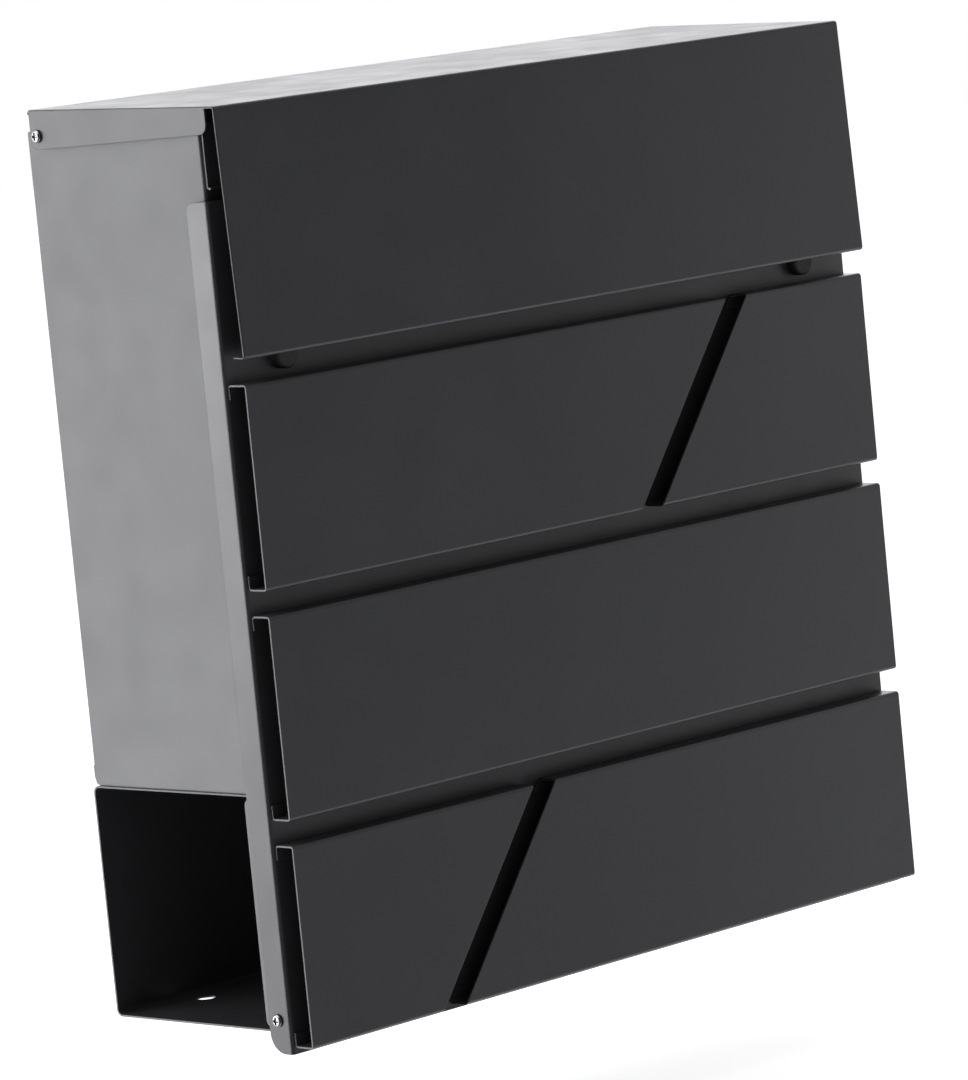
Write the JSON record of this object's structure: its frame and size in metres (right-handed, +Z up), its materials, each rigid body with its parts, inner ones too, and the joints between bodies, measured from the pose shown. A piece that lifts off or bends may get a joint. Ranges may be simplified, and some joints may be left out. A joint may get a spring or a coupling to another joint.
{
  "type": "wall letterbox with newspaper tunnel",
  "caption": "Flat-backed wall letterbox: hinged rain lid, fold-down front of slatted panels with slanting cuts, cam lock, and an open newspaper tunnel below.",
  "frame": {"origin": "centre of the four wall holes, on the rear face of the back", "axes": "+X to the right seen from the front, +Y towards the wall, +Z up"},
  "size_m": [0.3766, 0.119, 0.3826],
  "materials": {
    "powder_coat": "fine-textured satin powder coat, anthracite",
    "zinc_steel": "zinc plated",
    "bright_steel": "bright nickel plated",
    "lock_metal": "satin chrome",
    "nylon": "black nylon",
    "rubber": "matt black"
  },
  "bodies": {
    "housing": {"body_shell": "powder_coat", "newspaper_tunnel": "powder_coat", "lock_crossbar": "powder_coat", "floor_rivets": "zinc_steel", "lid_pivot_screws": "bright_steel", "lid_pivot_spacers": "nylon", "lid_pivot_nuts": "zinc_steel", "door_pivot_screws": "bright_steel", "door_pivot_washers": "nylon", "door_pivot_nuts": "zinc_steel"},
    "lid_body": {"lid": "powder_coat"},
    "door_body": {"door_pan": "powder_coat", "panel_upper_left": "powder_coat", "panel_upper_right": "powder_coat", "panel_middle": "powder_coat", "panel_lower_left": "powder_coat", "panel_lower_right": "powder_coat", "lid_bumpers": "rubber", "lock_barrel": "lock_metal", "lock_nut": "zinc_steel"},
    "lock_body": {"lock_plug": "lock_metal", "lock_cam": "zinc_steel", "cam_screw": "zinc_steel"}
  },
  "joints": [
    {"name": "lid_hinge", "type": "hinge", "parent": "housing", "child": "lid_body", "pos_m": [0, -0.01, 0.1342], "axis": [-1, 0, 0], "range_deg": [0, 30]},
    {"name": "door_hinge", "type": "hinge", "parent": "housing", "child": "door_body", "pos_m": [0, -0.0997, -0.224], "axis": [1, 0, 0], "range_deg": [0, 90]},
    {"name": "lock_turn", "type": "hinge", "parent": "door_body", "child": "lock_body", "pos_m": [0, -0.0946, 0.087], "axis": [0, -1, 0], "range_deg": [0, 90]}
  ]
}
